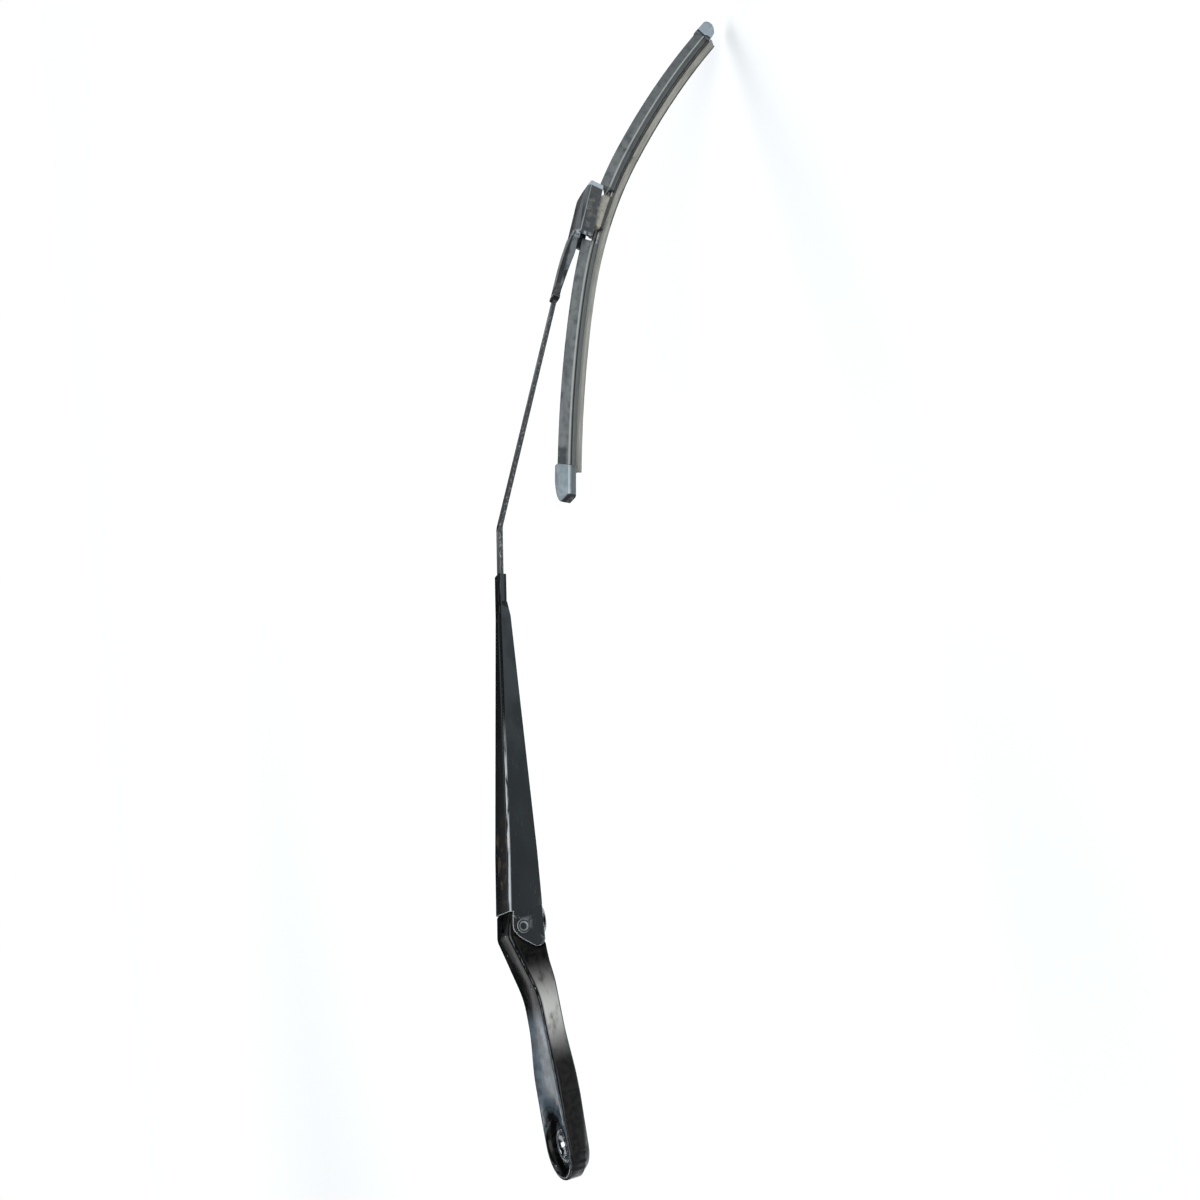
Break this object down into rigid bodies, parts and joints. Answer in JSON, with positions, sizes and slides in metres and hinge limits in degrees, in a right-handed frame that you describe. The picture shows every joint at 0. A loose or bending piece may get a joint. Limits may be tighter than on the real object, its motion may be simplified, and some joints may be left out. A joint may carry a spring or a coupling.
{
  "type": "windscreen wiper arm",
  "caption": "Spring-loaded windscreen wiper arm that folds at a riveted pivot and carries a curved flat wiper blade on a tilting adapter.",
  "frame": {"origin": "centre of the nut seat, at the top end of the spindle's hole", "axes": "+Z along the spindle, away from the glass; +X along the arm towards the blade; Y across the arm"},
  "size_m": [0.9046, 0.036, 0.3634],
  "materials": {
    "head_paint": "black paint, slightly worn",
    "arm_paint": "dark grey paint, dusty",
    "rod_paint": "dark grey paint, dusty",
    "holder_paint": "grey-black paint, worn at the side",
    "steel": "bare steel",
    "spring_steel": "oiled spring steel",
    "bush": "moulded bush",
    "adapter": "moulded, black",
    "tab": "moulded, dark grey",
    "bridge": "moulded, beige grey",
    "spoiler": "dusty grey-black rubber",
    "wiping_rubber": "dusty rubber, dark at the lip",
    "cap": "moulded, pale in the light"
  },
  "bodies": {
    "head": {"head": "head_paint", "pivot_bush_near": "bush", "pivot_bush_far": "bush", "anchor_pin": "steel"},
    "arm": {"arm_channel": "arm_paint", "pivot_rivet": "arm_paint", "wiper_rod": "rod_paint", "blade_holder": "holder_paint", "adapter": "adapter"},
    "link": {"spring_link": "steel"},
    "spring": {"tension_spring": "spring_steel"},
    "tab_near": {"release_tab_near": "tab"},
    "tab_far": {"release_tab_far": "tab"},
    "blade": {"blade_bridge": "bridge", "bridge_pin": "steel", "flexor_rail_near": "steel", "flexor_rail_far": "steel", "rubber_element": "wiping_rubber", "spoiler_inner": "spoiler", "spoiler_outer": "spoiler", "end_cap_inner": "cap", "end_cap_outer": "cap"}
  },
  "joints": [
    {"name": "arm_fold", "type": "hinge", "parent": "head", "child": "arm", "pos_m": [0.1246, 0, 0.0039], "axis": [0, -1, 0], "range_deg": [0, 68], "deforming": ["tension_spring"]},
    {"name": "link_swing", "type": "hinge", "parent": "head", "child": "link", "pos_m": [0.11953, 0, -0.00472], "axis": [0, -1, 0], "range_deg": [0, 66]},
    {"name": "spring_swing", "type": "hinge", "parent": "arm", "child": "spring", "pos_m": [0.2877, 0, -0.0248], "axis": [0, -1, 0], "range_deg": [-4, 0]},
    {"name": "blade_tilt", "type": "hinge", "parent": "arm", "child": "blade", "pos_m": [0.66051, 0, -0.17115], "axis": [0, 1, 0], "range_deg": [-10, 2.5]},
    {"name": "tab_near_press", "type": "slide", "parent": "arm", "child": "tab_near", "axis": [0, 1, 0], "range_m": [0, 0.0014], "stiffness_N_per_m": 600, "springref_m": -0.001},
    {"name": "tab_far_press", "type": "slide", "parent": "arm", "child": "tab_far", "axis": [0, -1, 0], "range_m": [0, 0.0014], "stiffness_N_per_m": 600, "springref_m": -0.001}
  ],
  "couplings": [
    {"joint": "link_swing", "follows": "arm_fold", "ratio": 0.95462},
    {"joint": "spring_swing", "follows": "arm_fold", "ratio": -0.04538}
  ]
}
